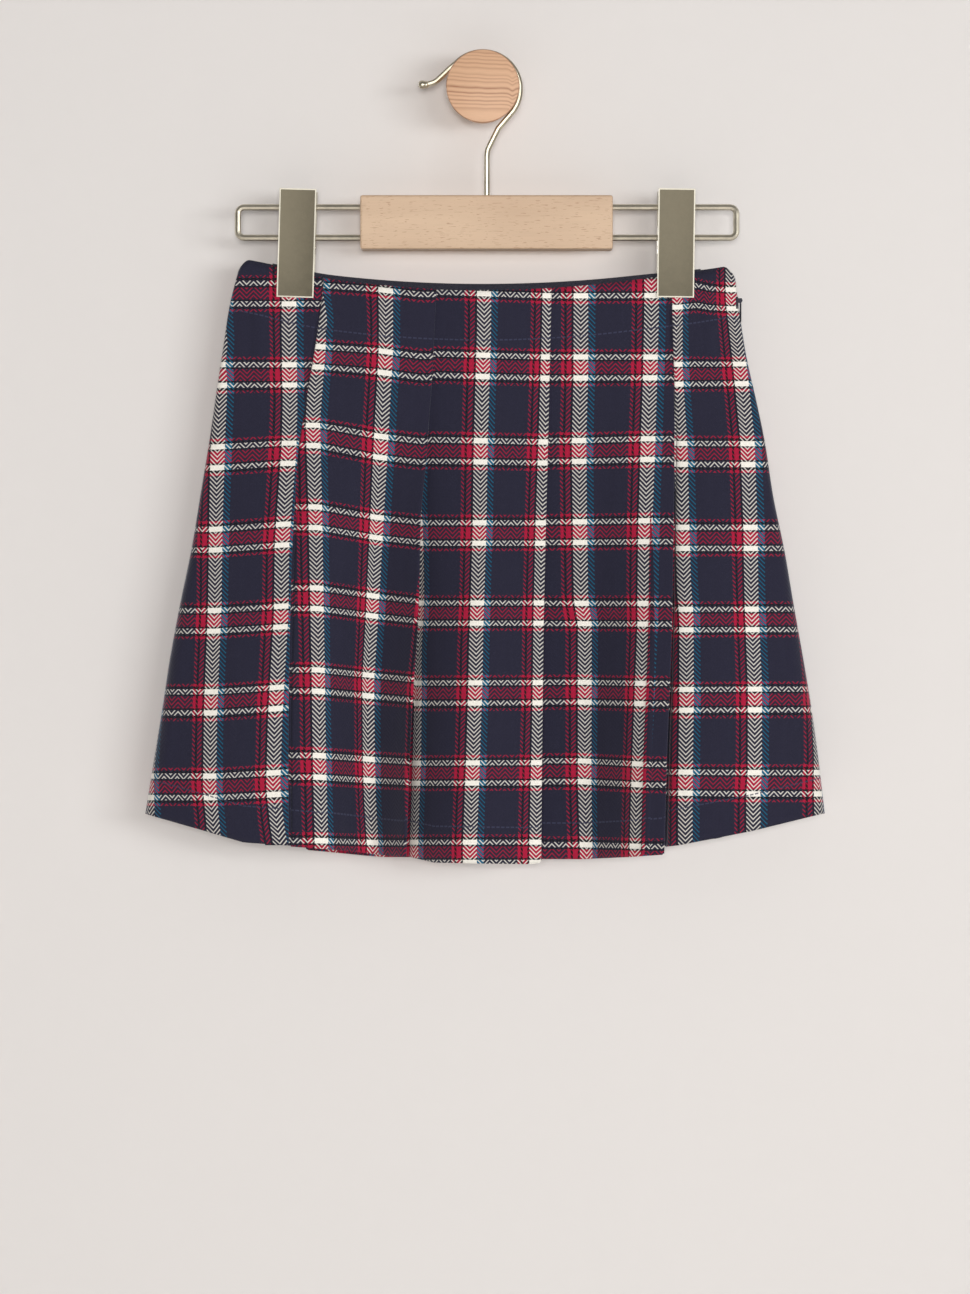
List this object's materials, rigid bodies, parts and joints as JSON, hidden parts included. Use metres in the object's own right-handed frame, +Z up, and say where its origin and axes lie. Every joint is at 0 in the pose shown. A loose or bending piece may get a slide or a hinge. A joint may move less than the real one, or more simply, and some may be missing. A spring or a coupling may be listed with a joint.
{
  "type": "pleated skirt on a clip hanger and wall peg",
  "caption": "Checked knee pleated skirt with knife pleats and a side zip, gripped by the clips of a wood and wire hanger that hooks over a round wooden wall peg.",
  "frame": {"origin": "middle of the wall peg's flat back face, where the peg meets the wall", "axes": "+Z up, +X to the right of someone who faces the wall, +Y into the wall; the skirt hangs in front of the wall on the -Y side"},
  "size_m": [0.3944, 0.0655, 0.4723],
  "materials": {
    "check_twill": "herringbone twill with a navy, red, white and teal check",
    "plain_navy": "plain matt cloth",
    "zip_metal": "dark enamelled metal",
    "beech": "matt clear varnish",
    "satin_nickel": "satin champagne nickel",
    "pine": "matt, bare turned pine"
  },
  "bodies": {
    "skirt_and_hanger": {"front_centre": "check_twill", "front_side_left": "check_twill", "front_side_right": "check_twill", "back_centre": "check_twill", "back_side_left": "check_twill", "back_side_right": "check_twill", "waist_facing": "plain_navy", "zip_slider": "zip_metal", "hanger_bar": "beech", "hanger_rail": "satin_nickel", "hanger_hook": "satin_nickel", "clip_left_front": "satin_nickel", "clip_left_back": "satin_nickel", "clip_left_pin": "satin_nickel", "clip_right_front": "satin_nickel", "clip_right_back": "satin_nickel", "clip_right_pin": "satin_nickel", "wall_peg": "pine"},
    "zip_pull": {"zip_pull": "zip_metal"}
  },
  "joints": [
    {"name": "zip_pull_swing", "type": "hinge", "parent": "skirt_and_hanger", "child": "zip_pull", "pos_m": [0.1499, -0.032, -0.12304], "axis": [0, -1, 0], "range_deg": [0, 150]}
  ]
}
